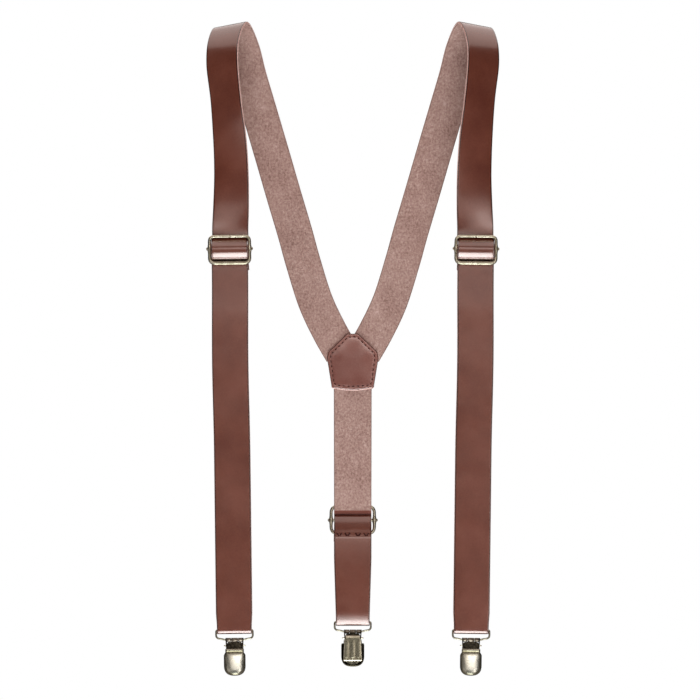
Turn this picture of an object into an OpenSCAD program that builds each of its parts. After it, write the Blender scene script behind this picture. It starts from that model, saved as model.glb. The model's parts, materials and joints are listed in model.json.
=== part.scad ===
// Y-back clip suspenders in strap leather: two front straps and one back strap,
// each with a sliding adjuster and a cam-lever clip, joined by a sewn back patch.
// Axes: +X to the wearer's left, +Y to the wearer's back, +Z up.
// Origin: midway between the shoulders, at the height where the straps rest on them.

/* [Straps] */
// Width of the two shoulder straps
strap_w = 25; // [24:0.5:25.5]
// Width of the single back strap
back_strap_w = 27; // [25:0.5:27]
// Thickness of the leather
strap_t = 1.8; // [1.4:0.1:1.8]
// Width of every strap end where it turns round a clip's wire
turn_w = 24; // [22:0.5:24]

/* [Hanging shape] */
// Sideways distance of each front adjuster from the centre line
front_x = 86.2; // [80:0.1:95]
// Distance of the front and back strap planes from the middle
plane_y = 24; // [20:0.5:30]
// How far each front strap leans inwards towards its clip, in degrees
front_lean = 0.7; // [0:0.1:2]
// Height of the front adjusters
front_slider_z = -157; // [-170:1:-150]
// Height of the wire in the front clips
front_wire_z = -424; // [-440:1:-260]
// Height of the back adjuster
back_slider_z = -348.9; // [-360:0.1:-330]
// Height of the wire in the back clip
back_wire_z = -421; // [-440:1:-390]

/* [Back patch] */
// Height of the patch's top edge
patch_top_z = -216.2; // [-217:0.1:-215]
// Thickness of each of the two patch leaves
patch_t = 1.6; // [1.2:0.1:1.8]
// Distance of the stitching from the patch's edge
stitch_inset = 2.4; // [2:0.1:3]

/* [Adjusters] */
// Radius of the adjuster's bent wire
frame_r = 1.05; // [0.9:0.05:1.1]
// Radius of the front adjusters' thicker bottom bar
bottom_bar_r = 1.4; // [1.2:0.05:1.4]
// Radius of the fixed bar that the strap end is sewn round
slider_bar_r = 1.1; // [0.9:0.05:1.1]
// Half of the front adjuster's width, to the middle of its wire
front_half = 14; // [14:0.1:15]
// Half of the back adjuster's width, to the middle of its wire
back_half = 15.4; // [15.2:0.1:16]

/* [Clips] */
// Radius of the wire that hangs the clip on the strap
wire_r = 0.65; // [0.6:0.05:0.7]
// Distance between the wire's two bars
wire_drop = 6.9; // [6.4:0.1:7]
// Width of the domed front plate
dome_w = 15.2; // [14.6:0.1:16]
// Thickness of the clip's sheet metal
sheet_t = 0.8; // [0.6:0.05:0.8]
// Width of the lever
lever_w = 13; // [12:0.5:13]

/* [Hidden] */

LEATHER = [0.44, 0.27, 0.24];
SUEDE = [0.67, 0.54, 0.50];
THREAD = [0.30, 0.17, 0.14];
BRASS = [0.52, 0.47, 0.35];
DARK_METAL = [0.25, 0.23, 0.20];
RUBBER = [0.12, 0.11, 0.10];
$fn = 48;

// Gap left between solids that lie against each other
gap = 0.1;

// --- Strap route over the left shoulder ---
// The strap lies this far behind the adjuster's plane
run_y = 2.3;
strap_y = plane_y - run_y;
slider_top = 14;
run_gap = 0.9;
// The strap enters the front adjuster this far towards the centre line from its middle
strap_shift = 0.6;
top_x = strap_shift - front_x - slider_top * sin(front_lean);

// Middle of the strap from the back patch to the front adjuster: x, y, z and
// the angle in degrees that the strap's face is turned outwards
LEFT_ROUTE = [
    [-7.7, strap_y, -230, 0],
    [-16.8, strap_y, -214, 0],
    [-26.6, strap_y, -193, 0],
    [-35.4, strap_y, -165, 0],
    [-41.2, strap_y, -144, 1],
    [-49.5, strap_y, -116, 2],
    [-57.6, strap_y, -88, 4],
    [-65.8, strap_y, -60, 6],
    [-73.4, strap_y - 1.5, -34, 8],
    [-78.8, strap_y - 7, -13, 12],
    [-85.6, 0, strap_t / 2, 18],
    [-90.2, 7.5 - strap_y, -9, 22],
    [-91.4, 1.2 - strap_y, -26, 27],
    [-88.7, -strap_y, -53, 31],
    [-86.6, -strap_y, -78, 23],
    [-85.4, -strap_y, -105, 16],
    [-85.3, -strap_y, -127, 8],
    [top_x, -strap_y, front_slider_z + slider_top + run_gap, 0]
];
// Route steps that make up the fixed shoulder part and the adjustable run
SHOULDER_STEPS = [0, 14];
RUN_STEPS = [14, 17];
RINGS_PER_STEP = 4;
// The two straps meet along the centre line under the patch
meet_x = 0.3;

// --- Routes inside the adjuster, in its own frame: y backwards, z up ---
// The strap: behind the top bar, in front of the middle bar, behind the bottom bar
WEAVE_ROUTE = [
    [run_y, 14], [run_y, 10.2], [1.9, 7.4], [0.3, 5.1], [-2, 3.6], [-3.55, 1.8],
    [-4, 0], [-3.7, -1.9], [-2.2, -4.3], [-0.7, -6.1], [1.05, -7.6], [2.4, -9.3],
    [2.65, -11.2], [2.65, -15]
];
// The strap's end: up from the clip, over the middle bar and down between the layers
wrap_r = slider_bar_r + 0.16 + strap_t / 2;
WRAP_ROUTE = concat(
    [[6.4, -16], [6.4, -11.5], [6.2, -9], [5.1, -6.3], [4, -3.9], [2.95, -1.5]],
    [for (a = [25 : 35 : 200]) wrap_r * [cos(a), sin(a)]],
    [[-1.3, -2.4], [-0.15, -3.9], [1.7, -5.5], [3.55, -7.4], [4.4, -9.6], [4.5, -11.8], [4.5, -15]]);
outer_y = 2.65;
inner_y = 6.4;
wire_y = (outer_y + inner_y) / 2;
weave_bottom = -15;
wrap_bottom = -16;
turn_top = 4;
turn_r = 1;
frame_corner_r = 2.6;
stitch_row_z = -11.5;

// --- Clip, in its own frame: z = 0 at the wire's upper bar, y = 0 in the wire's plane ---
hinge_z = -wire_drop;
knuckle_r = 1.45;
knuckle_bore = wire_r + 0.05;
knuckle_in = 2.5;
cheek_in = 5.5;
cheek_out = cheek_in + sheet_t;
plate_y = -1.9;
pin_y = 3.6;
pin_z = -11.2;
pin_r = 0.5;
pin_half = 7.6;
dome_top_z = -16.2;
dome_round_z = -24.3;
dome_r = 14;
dome_front_y = -4.6;
rim_y = -1.4;
neck_half = 6.5;
jaw_y = -0.5;
jaw_bottom_z = -30.2;
lever_y = 5.2;
lever_bottom_z = -27.7;
cam_half = 5.2;
cam_r_closed = 3;
cam_r_open = 1.9;
cam_turn = 90;
// The lever's wide plate starts this far below its pin, so that it clears the clip's ears
plate_drop = 1;

// --- Curves ---
function spline_point(p, i, f) =
    let (a = p[max(i - 1, 0)], b = p[i], c = p[i + 1], d = p[min(i + 2, len(p) - 1)])
    (2 * b + (c - a) * f + (2 * a - 5 * b + 4 * c - d) * f * f
        + (3 * b - a - 3 * c + d) * f * f * f) / 2;
function smooth_steps(p, first, last, n) = concat(
    [for (i = [first : last - 1], k = [0 : n - 1]) spline_point(p, i, k / n)],
    [p[last]]);
function smooth(p, n) = smooth_steps(p, 0, len(p) - 1, n);
function heading(p, i) =
    let (d = p[min(i + 1, len(p) - 1)] - p[max(i - 1, 0)])
    d / norm(d);

// Outline of a band of thickness t along a flat route
function side_of(p, i, t) =
    let (d = heading(p, i))
    p[i] + [-d[1], d[0]] * t / 2;
function band_outline(p, t) = concat(
    [for (i = [0 : len(p) - 1]) side_of(p, i, t)],
    [for (i = [len(p) - 1 : -1 : 0]) side_of(p, i, -t)]);

// Across direction of the strap: turned outwards by the route's angle, square to the route
function across(p, i) =
    let (
        all = [for (q = p) [q[0], q[1], q[2]]],
        along = heading(all, i),
        flat = [cos(p[i][3]), -sin(p[i][3]), 0],
        square = flat - (flat * along) * along)
    square / norm(square);
function ring(p, i, w, t) =
    let (
        all = [for (q = p) [q[0], q[1], q[2]]],
        c = all[i],
        a = across(p, i),
        n = cross(a, heading(all, i)) * t / 2,
        reach = min(w / 2, (-meet_x - c[0]) / a[0]),
        near = c + a * reach,
        far = c - a * w / 2)
    [near + n, far + n, far - n, near - n];

module strap_solid(first, last) {
    p = smooth_steps(LEFT_ROUTE, first, last, RINGS_PER_STEP);
    count = len(p);
    corners = [for (i = [0 : count - 1]) each ring(p, i, strap_w, strap_t)];
    sides = [
        for (i = [0 : count - 2], k = [0 : 3])
            let (a = 4 * i + k, b = 4 * i + (k + 1) % 4)
            each [[a, b, b + 4], [a, b + 4, a + 4]]
    ];
    end = 4 * (count - 1);
    caps = [[0, 2, 1], [0, 3, 2], [end, end + 1, end + 2], [end, end + 2, end + 3]];
    polyhedron(points = corners, faces = concat(sides, caps), convexity = 6);
}

// --- Frames of the three legs and of their clips ---
module at_leg(side) {
    if (side == "left")
        translate([-front_x, -plane_y, front_slider_z]) rotate([0, -front_lean, 0]) children();
    if (side == "right")
        mirror([1, 0, 0]) at_leg("left") children();
    if (side == "back")
        translate([0, plane_y, back_slider_z]) rotate([0, 0, 180]) children();
}
function drop(side) = side == "back" ? back_slider_z - back_wire_z : front_slider_z - front_wire_z;
function leg_w(side) = side == "back" ? back_strap_w - 0.5 : strap_w;
function half(side) = side == "back" ? back_half : front_half;
// Heights of the adjuster's top and bottom bars above its middle bar, and the bottom bar's radius
function top_bar_z(side) = side == "back" ? 9.9 : 8.65;
function bottom_bar_z(side) = side == "back" ? -9.5 : -9.9;
function bottom_r(side) = side == "back" ? frame_r : bottom_bar_r;
module at_clip(side) {
    at_leg(side) translate([0, wire_y, -drop(side)]) children();
}

module across_band(route, w) {
    rotate([90, 0, 90])
        linear_extrude(w, center = true) polygon(band_outline(smooth(route, 4), strap_t));
}
module cross_bar(r, half_length) {
    rotate([0, 90, 0]) cylinder(r = r, h = 2 * half_length, center = true);
}
// A flat plate facing y: outline in x and z, from y0 backwards
module plate(points, y0, t) {
    translate([0, y0 + t, 0]) rotate([90, 0, 0]) linear_extrude(t) polygon(points);
}
// A quarter bend of wire in the xz plane, from +x round to +z
module bend(corner_r, r) {
    rotate([90, 0, 0]) rotate_extrude(angle = 90) translate([corner_r, 0]) circle(r);
}

// --- Shoulder straps, back strap and patch ---
module left_strap() {
    color(LEATHER) strap_solid(SHOULDER_STEPS[0], SHOULDER_STEPS[1]);
}
module left_run() {
    color(LEATHER) strap_solid(RUN_STEPS[0], RUN_STEPS[1]);
}
back_top_z = -238.5;
back_split_z = -262;
module back_piece(z0, z1) {
    w = back_strap_w / 2;
    color(SUEDE)
        plate([[-w, z1], [w, z1], [w, z0], [-w, z0]], strap_y - strap_t / 2, strap_t);
}
module back_strap() { back_piece(back_top_z, back_split_z); }
module back_run() { back_piece(back_split_z - gap, back_slider_z + slider_top + gap); }

// Patch outline, left half from the top, and the slightly bowed lower edge
patch_corner_z = patch_top_z - 13.2;
patch_wide_z = patch_top_z - 17.5;
patch_low_z = patch_top_z - 38.4;
patch_bow = 1.4;
PATCH_HALF = [[3.8, patch_top_z], [17.4, patch_corner_z], [18.1, patch_wide_z], [14.9, patch_low_z]];
PATCH = concat(
    PATCH_HALF,
    [[7.5, patch_low_z - 0.75 * patch_bow], [0, patch_low_z - patch_bow], [-7.5, patch_low_z - 0.75 * patch_bow]],
    [for (i = [3 : -1 : 0]) [-PATCH_HALF[i][0], PATCH_HALF[i][1]]]);
patch_inner_y = strap_y - strap_t / 2 - 0.05 - patch_t;
patch_outer_y = strap_y + strap_t / 2 + 0.05;
module patch_inner() { color(LEATHER) plate(PATCH, patch_inner_y, patch_t); }
module patch_outer() { color(LEATHER) plate(PATCH, patch_outer_y, patch_t); }

// Stitches follow the outline, drawn in towards the patch's middle
patch_mid = [0, patch_top_z - 22];
function drawn_in(q) =
    let (d = patch_mid - q)
    q + d * stitch_inset / norm(d) * 1.15;
stitch_step = 3.2;
stitch_l = 2.2;
stitch_d = 0.5;
module stitch_line(a, b, y) {
    count = max(1, round(norm(b - a) / stitch_step));
    turn = atan2(b[1] - a[1], b[0] - a[0]);
    for (k = [0 : count - 1]) {
        mid = a + (b - a) * (k + 0.5) / count;
        translate([mid[0], y, mid[1]]) rotate([0, -turn, 0])
            cube([stitch_l, stitch_d, stitch_d], center = true);
    }
}
module patch_stitches() {
    color(THREAD)
        for (y = [patch_inner_y - stitch_d / 2, patch_outer_y + patch_t + stitch_d / 2])
            for (i = [0 : len(PATCH) - 1])
                stitch_line(drawn_in(PATCH[i]), drawn_in(PATCH[(i + 1) % len(PATCH)]), y);
}

// --- Adjuster ---
module slider_frame(side) {
    h = half(side);
    high = top_bar_z(side);
    low = bottom_bar_z(side);
    color(BRASS) at_leg(side) difference() {
        union() {
            translate([0, 0, high]) cross_bar(frame_r, h - frame_corner_r);
            translate([0, 0, low]) cross_bar(bottom_r(side), h - frame_corner_r);
            for (m = [0, 1]) mirror([m, 0, 0]) {
                translate([h, 0, low + frame_corner_r])
                    cylinder(r = frame_r, h = high - low - 2 * frame_corner_r);
                translate([h - frame_corner_r, 0, high - frame_corner_r])
                    bend(frame_corner_r, frame_r);
                translate([h - frame_corner_r, 0, low + frame_corner_r])
                    mirror([0, 0, 1]) bend(frame_corner_r, frame_r);
                translate([h, 0, 0]) sphere(r = 1.5);
            }
        }
        cross_bar(0.58, h + 3);
    }
}
module slider_bar(side) {
    h = half(side);
    color(BRASS) at_leg(side) {
        cross_bar(slider_bar_r, h - 1.6);
        cross_bar(0.55, h + 2.3);
        for (m = [-1, 1]) translate([m * (h + 1.95), 0, 0]) cross_bar(0.95, 0.4);
    }
}
module strap_weave(side) {
    color(LEATHER) at_leg(side) across_band(WEAVE_ROUTE, leg_w(side));
}
module strap_wrap(side) {
    color(LEATHER) at_leg(side) across_band(WRAP_ROUTE, leg_w(side));
}
module end_stitches(side) {
    w = leg_w(side) / 2 - 2;
    color(THREAD) at_leg(side)
        stitch_line([-w, stitch_row_z], [w, stitch_row_z], inner_y + strap_t / 2 + stitch_d / 2);
}

// --- Double strap from the adjuster to the clip ---
module loop_layer(side, y, z_top) {
    w = leg_w(side) / 2;
    low = -drop(side) + turn_top + gap;
    ease = low + 9;
    color(LEATHER) at_leg(side)
        plate([[-w, z_top - gap], [-w, ease], [-turn_w / 2, low], [turn_w / 2, low], [w, ease],
            [w, z_top - gap]], y - strap_t / 2, strap_t);
}
module loop_outer(side) { loop_layer(side, outer_y, weave_bottom); }
module loop_inner(side) { loop_layer(side, inner_y, wrap_bottom); }
module strap_turn(side) {
    outer_r = turn_r + strap_t;
    color(LEATHER) at_clip(side) difference() {
        union() {
            cross_bar(outer_r, turn_w / 2);
            translate([-turn_w / 2, -outer_r, 0]) cube([turn_w, 2 * outer_r, turn_top]);
        }
        cross_bar(turn_r, turn_w);
        translate([-turn_w, -turn_r, 0]) cube([2 * turn_w, 2 * turn_r, 2 * turn_top]);
    }
}

// --- Clip ---
wire_half = turn_w / 2 + 0.2 + wire_r;
wire_corner = 1.2;
wire_low_corner = 3.4;
module hanger_wire(side) {
    color(BRASS) at_clip(side) {
        cross_bar(wire_r, wire_half - wire_corner);
        translate([0, 0, hinge_z]) cross_bar(wire_r, wire_half - wire_low_corner);
        for (m = [0, 1]) mirror([m, 0, 0]) {
            translate([wire_half - wire_corner, 0, -wire_corner]) bend(wire_corner, wire_r);
            translate([wire_half, 0, hinge_z + wire_low_corner])
                cylinder(r = wire_r, h = -wire_corner - hinge_z - wire_low_corner);
            translate([wire_half - wire_low_corner, 0, hinge_z + wire_low_corner])
                mirror([0, 0, 1]) bend(wire_low_corner, wire_r);
        }
    }
}

// Domed plate with a round lower end: the outline is drawn in by inset
module dome(inset) {
    r = dome_w / 2 - inset;
    intersection() {
        union() {
            translate([0, 0, dome_round_z]) rotate([90, 0, 0]) cylinder(r = r, h = 12);
            translate([-r, -12, dome_round_z]) cube([2 * r, 12, dome_top_z - inset - dome_round_z]);
        }
        translate([0, dome_front_y + dome_r, dome_round_z + 1.5]) sphere(r = dome_r - inset, $fn = 96);
    }
}
module cheek() {
    difference() {
        union() {
            translate([cheek_in, 0, hinge_z]) rotate([0, 90, 0]) cylinder(r = knuckle_r, h = sheet_t);
            translate([cheek_in, pin_y, pin_z]) rotate([0, 90, 0]) cylinder(r = 1.3, h = sheet_t);
            translate([cheek_in, 0, 0]) rotate([90, 0, 90]) linear_extrude(sheet_t)
                polygon([[plate_y, hinge_z], [1.2, hinge_z + 0.6], [pin_y + 0.5, pin_z + 1.2],
                    [pin_y - 0.4, pin_z - 1.25], [plate_y + sheet_t, -14.6], [plate_y, -14.6]]);
        }
        translate([0, pin_y, pin_z]) cross_bar(pin_r + 0.02, 10);
        translate([0, 0, hinge_z]) cross_bar(knuckle_bore, 10);
    }
}
module clip_shell(side) {
    neck_l = dome_top_z - 0.4;
    color(BRASS) at_clip(side) {
        difference() {
            dome(0);
            dome(sheet_t);
            translate([-10, rim_y, -40]) cube([20, 20, 40]);
        }
        plate([[-neck_half, -13.2], [neck_half, -13.2], [neck_half, neck_l], [-neck_half, neck_l]],
            plate_y, sheet_t);
        for (m = [0, 1]) mirror([m, 0, 0]) {
            cheek();
            translate([knuckle_in, 0, hinge_z]) rotate([0, 90, 0]) difference() {
                cylinder(r = knuckle_r, h = cheek_in - knuckle_in);
                translate([0, 0, -1]) cylinder(r = knuckle_bore, h = 8);
            }
        }
    }
}
module lever_pin(side) {
    color(BRASS) at_clip(side) translate([0, pin_y, pin_z]) cross_bar(pin_r, pin_half);
}
module clip_jaw(side) {
    tongue = 4.9;
    wide = 6.6;
    round_z = jaw_bottom_z + wide;
    color(DARK_METAL) at_clip(side) {
        difference() {
            union() {
                translate([0, 0, hinge_z]) cross_bar(knuckle_r, knuckle_in - 0.2);
                plate([[-knuckle_in + 0.2, hinge_z], [knuckle_in - 0.2, hinge_z],
                    [knuckle_in - 0.2, -8.4], [tongue, -8.4], [tongue, -15], [wide, -17],
                    [wide, round_z], [-wide, round_z], [-wide, -17], [-tongue, -15],
                    [-tongue, -8.4], [-knuckle_in + 0.2, -8.4]], jaw_y, sheet_t);
                translate([0, jaw_y + sheet_t, round_z]) rotate([90, 0, 0])
                    cylinder(r = wide, h = sheet_t);
            }
            translate([0, 0, hinge_z]) cross_bar(knuckle_bore, 10);
        }
    }
}
module grip_pad(side) {
    pad_w = 5;
    color(RUBBER) at_clip(side) {
        translate([-pad_w, jaw_y - 0.5, -28]) cube([2 * pad_w, 0.5, 10]);
        for (k = [0 : 5]) translate([0, jaw_y - 0.5, -27.2 + 1.7 * k])
            rotate([0, 90, 0]) cylinder(r = 0.4, h = 2 * pad_w, center = true, $fn = 24);
    }
}
// Cam outline in y and z: closed radius at the front, shrinking towards the top
function cam_point(a) =
    let (r = a < 0 ? cam_r_closed : cam_r_closed - (cam_r_closed - cam_r_open) * min(1, a / cam_turn))
    [-r * cos(a), r * sin(a)];
CAM = concat(
    [for (a = [-60 : 15 : 135]) cam_point(a)],
    [[lever_y - pin_y + 0.4, 1.2], [lever_y - pin_y + 0.4, -3]]);
module clip_lever(side) {
    w = lever_w / 2;
    color(BRASS) at_clip(side) difference() {
        union() {
            translate([0, pin_y, pin_z]) rotate([90, 0, 90])
                linear_extrude(2 * cam_half, center = true) polygon(CAM);
            translate([-w, lever_y, lever_bottom_z]) cube([2 * w, 1, pin_z - plate_drop - lever_bottom_z]);
            translate([-w, lever_y + 0.2, lever_bottom_z + 0.6]) rotate([0, 90, 0])
                cylinder(r = 0.8, h = 2 * w);
            translate([-w + 0.1, lever_y + 0.75, lever_bottom_z + 1]) rotate([0, 90, 0])
                cylinder(r = 0.7, h = 2 * w - 0.2);
            for (k = [-1 : 1]) translate([k * 4, lever_y + 0.1, lever_bottom_z + 2.2])
                cylinder(r = 1.25, h = pin_z - lever_bottom_z - 2.6);
        }
        translate([0, pin_y, pin_z]) cross_bar(pin_r + 0.06, 10);
        translate([-10, 0, lever_bottom_z - 2]) cube([20, lever_y, -pin_z + 2 - 15.6 + 8]);
    }
}

left_strap();
mirror([1, 0, 0]) left_strap();  // right_strap
left_run();
mirror([1, 0, 0]) left_run();  // right_run
back_strap();
back_run();
patch_inner();
patch_outer();
patch_stitches();
for (side = ["left", "right", "back"]) {
    slider_frame(side);
    slider_bar(side);
    strap_weave(side);
    strap_wrap(side);
    end_stitches(side);
    loop_outer(side);
    loop_inner(side);
    strap_turn(side);
    hanger_wire(side);
    clip_shell(side);
    lever_pin(side);
    clip_jaw(side);
    grip_pad(side);
    clip_lever(side);
}
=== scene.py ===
"""Y-back leather suspenders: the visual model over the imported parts. Lengths in the code are millimetres unless a
name ends in _m. A leg's own frame has its origin at the adjuster's middle bar, with x across, y inwards and z up;
a clip's own frame is the same with its origin where the strap turns round the clip's wire."""
import json
import math

import bmesh
import bpy
import numpy as np
from mathutils import Matrix, Vector


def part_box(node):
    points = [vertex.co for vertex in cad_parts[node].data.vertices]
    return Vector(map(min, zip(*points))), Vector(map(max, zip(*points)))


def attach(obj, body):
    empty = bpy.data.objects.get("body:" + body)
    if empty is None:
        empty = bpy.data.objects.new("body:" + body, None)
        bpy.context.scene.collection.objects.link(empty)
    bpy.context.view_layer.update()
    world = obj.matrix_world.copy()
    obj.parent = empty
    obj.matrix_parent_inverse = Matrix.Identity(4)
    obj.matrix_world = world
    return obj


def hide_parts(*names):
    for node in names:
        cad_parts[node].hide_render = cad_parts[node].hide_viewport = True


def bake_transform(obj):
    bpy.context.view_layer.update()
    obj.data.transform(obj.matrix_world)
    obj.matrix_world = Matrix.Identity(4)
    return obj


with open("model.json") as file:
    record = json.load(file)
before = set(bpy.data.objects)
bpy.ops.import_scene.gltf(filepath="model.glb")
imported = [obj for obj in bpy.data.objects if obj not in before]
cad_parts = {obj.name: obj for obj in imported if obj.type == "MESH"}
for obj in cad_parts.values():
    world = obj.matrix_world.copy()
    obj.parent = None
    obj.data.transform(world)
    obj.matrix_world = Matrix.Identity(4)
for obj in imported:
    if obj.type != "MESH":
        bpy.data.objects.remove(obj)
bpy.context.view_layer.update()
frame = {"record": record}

scene = bpy.context.scene
MM = 0.001
SIDES = ("left", "right", "back")
JOINTS = {j["name"]: j for j in frame["record"]["behaviour"]["joints"]}

# --- Sizes of the object, as the design has them ---
STRAP_T = 1.8
STRAP_W = {"left": 25.4, "right": 25.4, "back": 26.6}   # of the looped straps
SHOULDER_W = 25.0
BACK_W = 27.0           # of the upper back strap at the patch
TURN_W = {"left": 24.3, "right": 24.3, "back": 24.0}    # of the strap where it turns round the clip's wire
TURN_R = 1.9
RUN_Y = 2.3             # middle of the strap behind the adjuster's top bar
OUTER_Y = 2.65          # middle of the outer layer under the adjuster, and of the inner layer
INNER_Y = 6.85
SPLIT_Z = 8.65          # where the shoulder piece meets the looped piece, behind the top bar
NO_LIMIT = 99
# From the strap's turn down to the hinge of the clip on its wire, and the lever's pin in the clip's y and z
WIRE_DROP = (Vector(JOINTS["back_wire_swing"]["pos_m"]) - Vector(JOINTS["back_clip_swing"]["pos_m"])).length / MM
PIN = (3.6, -11.2)

# Middle of the left strap from the patch to its adjuster: x, y, z and the outward turn in degrees
LEFT_ROUTE = [
    (-7.7, 21.7, -230, 0), (-16.8, 21.7, -214, 0), (-26.6, 21.7, -193, 0), (-35.4, 21.7, -165, 0),
    (-41.2, 21.7, -144, 1), (-49.5, 21.7, -116, 2), (-57.6, 21.7, -88, 4), (-65.8, 21.7, -60, 6),
    (-73.4, 20.2, -34, 8), (-78.8, 14.7, -13, 12), (-85.6, 0, 0.9, 18), (-90.2, -14.2, -9, 22),
    (-91.4, -20.5, -26, 27), (-88.7, -21.7, -53, 31), (-86.6, -21.7, -78, 23), (-85.4, -21.7, -105, 16),
    (-85.3, -21.7, -127, 8), (-85.75, -21.7, -142, 0), (-85.71, -21.7, -148.35, 0)]
STATION_STEP = 1.8
SHOULDER_HOLLOW = 1.3   # how far a front strap hangs in between the shoulder and the adjuster
MEET_X = 0.3            # the two shoulder straps meet this far from the centre line
# Over the shoulder's top the strap's inner edge lies higher, by this angle in degrees, as far down as BANK_Z
BANK, BANK_Z = 8.6, -34
# Towards the centre line, how far off its middle the strap enters a front adjuster
STRAP_SHIFT = {"left": 0.6, "right": -0.6, "back": 0.0}
# Outwards, how far a front strap bows below its adjuster
STRAP_BOW = {"left": -0.6, "right": 0.6, "back": 0.0}
FRONT_BELLY = 0.9       # how far the outer layer of a front strap swells above the clip
# Across, how far the strap's sewn end strays over its last stations
END_SHIFT = {"left": 0.9, "right": -0.5, "back": 0.3}
END_STATIONS = 22
# Under the adjuster's top bar, the height below which the strap's flesh side is painted darker red-brown, as
# painted shade where the strap bends away into the adjuster
FLESH_SHADE_Z = {"left": 6.6, "right": 6.6, "back": 7.9}
# The strap through the adjuster, in y and z: behind the top bar, before the middle bar, behind the bottom bar
WEAVE_ROUTE = [
    (2.3, 8.65), (2.24, 7.8), (1.6, 6.7), (0.1, 5.3), (-1.7, 3.9), (-3.3, 2.3), (-4.05, 0.7), (-4.1, -1.5),
    (-3.7, -3.2), (-2.75, -4.9), (-1.1, -6.45), (1.05, -7.8), (2.4, -9.4), (2.65, -11.2), (2.65, -15)]
# The strap's end, up from the clip, over the middle bar and down between the two layers
WRAP_R = 2.16
WRAP_UP = [
    (6.85, -16), (6.87, -14), (6.85, -12.2), (6.55, -10.6), (5.95, -8.7), (5.25, -6.3), (4.35, -3.9), (3.4, -1.6),
    (2.45, 0.3), (1.5, 1.85), (0.45, 2.6), (-0.55, 2.3)]
WRAP_DOWN = [(-1.3, -2.4), (-0.15, -3.9), (1.7, -5.5), (3.55, -7.4), (4.4, -9.6), (4.5, -11.8), (4.5, -15)]


# --- Frames ---
def leg_frame(side):
    """The leg's own frame as a matrix from millimetres to the shared frame's metres."""
    across = Vector(JOINTS[f"{side}_wire_swing"]["axis"]).normalized()
    up = Vector(JOINTS[f"{side}_slider_slide"]["axis"]).normalized()
    low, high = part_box(f"{side}_slider_bar")
    origin = (Vector(low) + Vector(high)) / 2
    axes = Matrix((across * MM, up.cross(across) * MM, up * MM)).transposed()
    return Matrix.Translation(origin) @ axes.to_4x4()


LEG = {side: leg_frame(side) for side in SIDES}
WIRE = {side: LEG[side].inverted() @ Vector(JOINTS[f"{side}_wire_swing"]["pos_m"]) for side in SIDES}
DROP = {side: -WIRE[side].z for side in SIDES}
CLIP = {side: LEG[side] @ Matrix.Translation(WIRE[side]) for side in SIDES}


# --- Curves ---
def spline(points, n):
    """Catmull-Rom through points, n steps to each span."""
    p = [np.array(q, float) for q in points]
    out = []
    for i in range(len(p) - 1):
        a, b, c, d = p[max(i - 1, 0)], p[i], p[i + 1], p[min(i + 2, len(p) - 1)]
        for k in range(n):
            f = k / n
            out.append((2 * b + (c - a) * f + (2 * a - 5 * b + 4 * c - d) * f * f
                        + (3 * b - a - 3 * c + d) * f ** 3) / 2)
    return np.array(out + [p[-1]])


def evenly(path, step):
    """The same line with its points step apart."""
    gaps = np.linalg.norm(np.diff(path[:, :3], axis=0), axis=1)
    at = np.concatenate([[0], np.cumsum(gaps)])
    count = max(2, int(round(at[-1] / step)) + 1)
    want = np.linspace(0, at[-1], count)
    return np.stack([np.interp(want, at, path[:, k]) for k in range(path.shape[1])], axis=1)


def headings(path):
    """Unit vectors along a path."""
    d = np.gradient(path[:, :3], axis=0)
    return d / np.linalg.norm(d, axis=1)[:, None]


def arc(centre, r, a0, a1, n):
    """Points on a circle in y and z, by angle in degrees from +y."""
    angles = np.radians(np.linspace(a0, a1, n))
    return [(centre[0] + r * math.cos(a), centre[1] + r * math.sin(a)) for a in angles]


# --- Meshes ---
def in_scene(name, data):
    """A new object of the scene with this data."""
    ob = bpy.data.objects.new(name, data)
    scene.collection.objects.link(ob)
    return ob


def pick(*pieces):
    """Selects these pieces alone, the first one active."""
    bpy.ops.object.select_all(action="DESELECT")
    for ob in pieces:
        ob.select_set(True)
    bpy.context.view_layer.objects.active = pieces[0]


def mesh_object(name, verts, faces, mats, face_mats=None, smooth=True, point_values=None):
    """A closed mesh piece from points in metres, with its normals outwards."""
    me = bpy.data.meshes.new(name)
    me.from_pydata([tuple(v) for v in verts], [], [tuple(f) for f in faces])
    for m in mats:
        me.materials.append(m)
    if face_mats is not None:
        me.polygons.foreach_set("material_index", face_mats)
    for key, values in (point_values or {}).items():
        me.attributes.new(key, "FLOAT", "POINT").data.foreach_set("value", np.array(values, np.float32))
    bm = bmesh.new()
    bm.from_mesh(me)
    bmesh.ops.recalc_face_normals(bm, faces=bm.faces)
    for f in bm.faces:
        f.smooth = smooth
    bm.to_mesh(me)
    bm.free()
    return in_scene(name, me)


def join_meshes(name, parts):
    """One piece from several objects."""
    pick(*parts)
    bpy.ops.object.join()
    parts[0].name = name
    parts[0].data.name = name
    return parts[0]


def sharpen(ob, degrees):
    """Smooth shading with true edges where faces meet at more than this angle."""
    pick(ob)
    bpy.ops.object.shade_smooth_by_angle(angle=math.radians(degrees))
    return ob


def skin(rings, closed=False):
    """Quads round a stack of equal rings, with end caps unless the stack is closed."""
    n, k = len(rings), len(rings[0])
    verts = [v for ring in rings for v in ring]
    faces = []
    for i in range(n if closed else n - 1):
        for j in range(k):
            a, b = i * k + j, i * k + (j + 1) % k
            c, d = ((i + 1) % n) * k + (j + 1) % k, ((i + 1) % n) * k + j
            faces.append((a, b, c, d))
    if not closed:
        faces.append(tuple(range(k - 1, -1, -1)))
        faces.append(tuple((n - 1) * k + j for j in range(k)))
    return verts, faces


def skinned(name, rings, mats, closed=False, **more):
    """A piece with a skin over rings of points."""
    verts, faces = skin(rings, closed)
    return mesh_object(name, verts, faces, mats, **more)


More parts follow.
